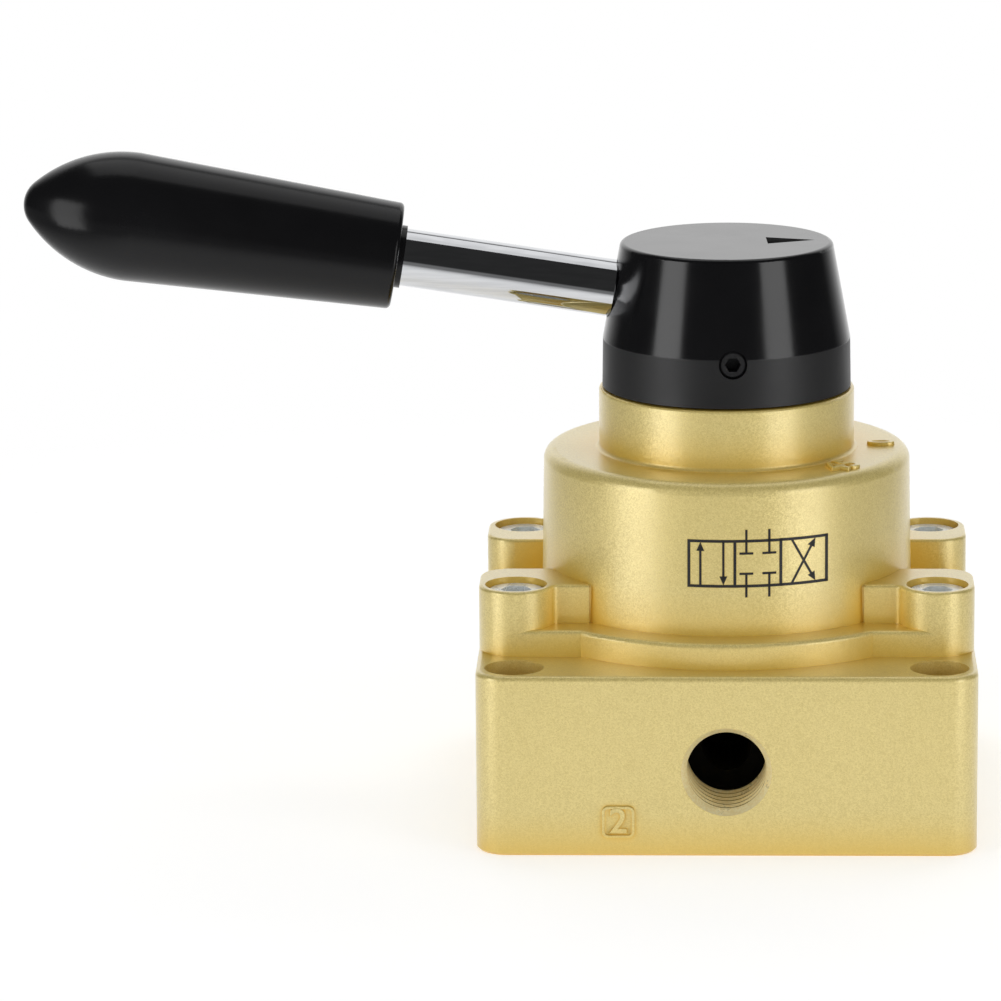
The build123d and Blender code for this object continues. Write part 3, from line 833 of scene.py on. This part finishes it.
threadPiece = makeThread()
ringPiece = makeMouthRing()
settle(threadPiece)
settle(ringPiece)
for sideName, turn in portTurns.items():
    for source, label in ((threadPiece, "portThread"), (ringPiece, "portMouthRing")):
        piece = source if turn == 0 else copyTurned(source, turn)
        finish(piece, label + sideName, "body", "cutMetal")
print("port threads cut")


# the raised port number on each side of the body
numberPlate = {
    "across": -15.5 * mm,
    "up": 5.15 * mm,
    "width": 4.7 * mm,
    "corner": 0.9 * mm,
    "rim": 0.42 * mm,
    "proud": 0.40 * mm,
    "sunk": 0.2 * mm,
    "hollow": 0.85,  # how far the field goes back, over what stands proud
    "edge": 0.07 * mm,
    "digit": 5.2 * mm,
    "deep": 0.7 * mm,
    "bold": 0.11 * mm,
}
portNumbers = {"Front": "2", "Right": "1", "Rear": "4", "Left": "3"}


def makePlate():
    startClean()
    sunk = numberPlate["sunk"]
    high = numberPlate["proud"] + sunk
    bpy.ops.mesh.primitive_cube_add(size=1)
    plate = bpy.context.object
    bpy.ops.object.mode_set(mode="EDIT")
    bpy.ops.transform.resize(value=(numberPlate["width"], high, numberPlate["width"]))
    pickEdges(plate, lambda a, b: abs(a.y - b.y) > high / 2)
    bpy.ops.mesh.bevel(offset=numberPlate["corner"], segments=5)
    pickFaces(plate, lambda centre, normal: normal.y < -0.9)
    bpy.ops.mesh.inset(thickness=numberPlate["rim"])
    bpy.ops.mesh.extrude_region_move(
        TRANSFORM_OT_translate={"value": (0, numberPlate["proud"] * numberPlate["hollow"], 0)}
    )
    bpy.ops.object.mode_set(mode="OBJECT")
    applyModifier(
        plate, "BEVEL", width=numberPlate["edge"], segments=2, limit_method="ANGLE",
        angle_limit=math.radians(40),
    )
    bpy.ops.object.shade_smooth_by_angle(angle=math.radians(40))
    plate.location = (numberPlate["across"], -side + sunk - high / 2, numberPlate["up"])
    settle(plate)
    return plate


def makeDigit(value):
    digit = textMesh(value, numberPlate["digit"], numberPlate["deep"], numberPlate["bold"])
    digit.rotation_euler = (math.pi / 2, 0, 0)
    digit.location = (numberPlate["across"], -side, numberPlate["up"])
    settle(digit)
    return digit


platePiece = makePlate()
for sideName, turn in portTurns.items():
    plate = platePiece if turn == 0 else copyTurned(platePiece, turn)
    finish(plate, "numberPlate" + sideName, "body", "goldFlakePaint")
    digit = makeDigit(portNumbers[sideName])
    digit.data.transform(Matrix.Rotation(math.radians(turn), 4, "Z"))
    finish(digit, "portNumber" + sideName, "body", "goldFlakePaint")
print("port numbers raised")


# the raised lever angles on the shoulder of the cover, read from outside
positions = {
    "radius": 22.9 * mm,
    "level": coverHigh.z - 8.95 * mm,
    "narrow": 0.78,
    "high": 0.85 * mm,
    "bold": 0.12 * mm,
    "marks": {  # what each says, degrees round from the right, and size
        "Front": ("45", -43, 6.4 * mm),
        "Middle": ("0", 0, 5.4 * mm),
        "Rear": ("45", 43, 6.4 * mm),
    },
}


def makePositionMark(label, value, azimuth, size):
    mark = textMesh(value, size, positions["high"], positions["bold"])
    mark.data.transform(Matrix.Scale(positions["narrow"], 4, (1, 0, 0)))
    mark.data.transform(Matrix.Rotation(math.pi / 2, 4, "Z"))
    mark.data.transform(Matrix.Translation((positions["radius"], 0, positions["level"])))
    mark.data.transform(Matrix.Rotation(math.radians(azimuth), 4, "Z"))
    finish(mark, "positionMark" + label, "body", "goldFlakePaint")


for label, (value, azimuth, size) in positions["marks"].items():
    makePositionMark(label, value, azimuth, size)
print("lever positions raised")


# the printed valve symbol on the front of the drum: three boxes with flow paths
symbol = {
    "middle": (4.5 * mm, 41.0 * mm),
    "box": 6.6 * mm,
    "line": 0.42 * mm,
    "thin": 0.8,  # the flow paths' strokes over the boxes' lines
    "piece": 0.6 * mm,  # how finely a stroke is cut, to follow the drum
    "head": 1.3 * mm,
    "headStretch": 1.35,
    "headBack": 0.62,  # the head's centre back from its tip, over its size
    "shaftBack": 0.6,
    "stub": 1.5 * mm,
    "gap": 0.05 * mm,
    "ink": 0.03 * mm,
}


def addStroke(start, end, width):
    # one straight stroke, as a plane stretched along its line and cut into short lengths
    first, last = Vector(start), Vector(end)
    run = last - first
    centre = (first + last) / 2
    startClean()
    bpy.ops.mesh.primitive_plane_add(size=1)
    stroke = bpy.context.object
    bpy.ops.object.mode_set(mode="EDIT")
    bpy.ops.transform.resize(value=(run.length + width, width, 1))
    bpy.ops.mesh.subdivide(number_cuts=max(2, int(run.length / symbol["piece"])))
    bpy.ops.object.mode_set(mode="OBJECT")
    stroke.data.transform(Matrix.Rotation(math.atan2(run.y, run.x), 4, "Z"))
    stroke.data.transform(Matrix.Translation((centre.x, centre.y, 0)))
    return stroke


def addArrowHead(tip, heading):
    startClean()
    bpy.ops.mesh.primitive_circle_add(vertices=3, radius=symbol["head"] / 2, fill_type="NGON")
    head = bpy.context.object
    bpy.ops.object.mode_set(mode="EDIT")
    bpy.ops.mesh.quads_convert_to_tris()
    bpy.ops.mesh.subdivide(number_cuts=2)
    bpy.ops.object.mode_set(mode="OBJECT")
    head.data.transform(Matrix.Rotation(-math.pi / 2, 4, "Z"))
    head.data.transform(Matrix.Scale(symbol["headStretch"], 4, (1, 0, 0)))
    head.data.transform(Matrix.Rotation(math.atan2(heading.y, heading.x), 4, "Z"))
    place = Vector(tip) - heading.normalized() * symbol["head"] * symbol["headBack"]
    head.data.transform(Matrix.Translation((place.x, place.y, 0)))
    return head


def makeSymbol():
    box = symbol["box"]
    width = symbol["line"]
    half = box / 2
    strokes = []
    for column in (-1, 0, 1):
        left = column * box - half
        right = column * box + half
        strokes.append(addStroke((left, -half), (left, half), width))
        strokes.append(addStroke((left, half), (right, half), width))
        strokes.append(addStroke((left, -half), (right, -half), width))
    strokes.append(addStroke((1.5 * box, -half), (1.5 * box, half), width))
    reach = half * 0.5
    edge = half - width / 2
    thin = width * symbol["thin"]
    paths = [
        ((-box - reach, -edge), (-box - reach, edge)),
        ((-box + reach, edge), (-box + reach, -edge)),
        ((box - reach, -edge), (box + reach, edge)),
        ((box - reach, edge), (box + reach, -edge)),
    ]
    for start, end in paths:
        heading = Vector(end) - Vector(start)
        neck = Vector(end) - heading.normalized() * symbol["head"] * symbol["shaftBack"]
        strokes.append(addStroke(start, neck, thin))
        strokes.append(addArrowHead(end, heading))
    for x in (-reach, reach):
        for y in (-1, 1):
            stop = y * half * 0.45
            strokes.append(addStroke((x, y * edge), (x, stop), thin))
            strokes.append(addStroke((x - reach * 0.5, stop), (x + reach * 0.5, stop), thin))
            strokes.append(addStroke((x, y * half), (x, y * (half + symbol["stub"])), thin))
    startClean()
    for stroke in strokes:
        stroke.select_set(True)
    bpy.context.view_layer.objects.active = strokes[0]
    bpy.ops.object.join()
    ink = bpy.context.object
    ink.data.transform(Matrix.Rotation(math.pi / 2, 4, "X"))
    across, up = symbol["middle"]
    ink.data.transform(Matrix.Translation((across, coverLow.y - 1 * mm, up)))
    applyModifier(
        ink, "SHRINKWRAP", target=cad["cover"], wrap_method="PROJECT", use_project_y=True,
        use_positive_direction=True, use_negative_direction=False, offset=symbol["gap"],
    )
    applyModifier(ink, "SOLIDIFY", thickness=symbol["ink"], offset=-1.0)
    finish(ink, "valveSymbol", "body", "inkBlack")


makeSymbol()
print("valve symbol printed")


# the matt inlay of the pointer on top of the knob
pointer = {
    "from": 5.9 * mm,
    "to": 12.95 * mm,
    "half": 2.6 * mm,
    "turn": 3.0,
    "thick": 0.30 * mm,
    "edge": 0.06 * mm,
    "gap": 0.04 * mm,
}


def makePointer():
    startClean()
    thick = pointer["thick"]
    length = pointer["to"] - pointer["from"]
    bpy.ops.mesh.primitive_cylinder_add(vertices=3, radius=1, depth=thick)
    inlay = bpy.context.object
    inlay.data.transform(Matrix.Rotation(-math.pi / 2, 4, "Z"))
    inlay.data.transform(Matrix.Scale((length - 3 * pointer["gap"]) / 1.5, 4, (1, 0, 0)))
    wide = (pointer["half"] - 1.5 * pointer["gap"]) / math.sin(math.radians(60))
    inlay.data.transform(Matrix.Scale(wide, 4, (0, 1, 0)))
    tail = min(vert.co.x for vert in inlay.data.vertices)
    top = knobHigh.z - pointer["gap"]
    inlay.data.transform(Matrix.Translation((pointer["from"] + pointer["gap"] - tail, 0, top - thick / 2)))
    inlay.data.transform(Matrix.Rotation(math.radians(pointer["turn"]), 4, "Z"))
    applyModifier(
        inlay, "BEVEL", width=pointer["edge"], segments=2, limit_method="ANGLE",
        angle_limit=math.radians(40),
    )
    bpy.ops.object.shade_smooth_by_angle(angle=math.radians(40))
    finish(inlay, "pointerInlay", "handle", "pointerBlack")


makePointer()
print("pointer set in")


print("scene ready")
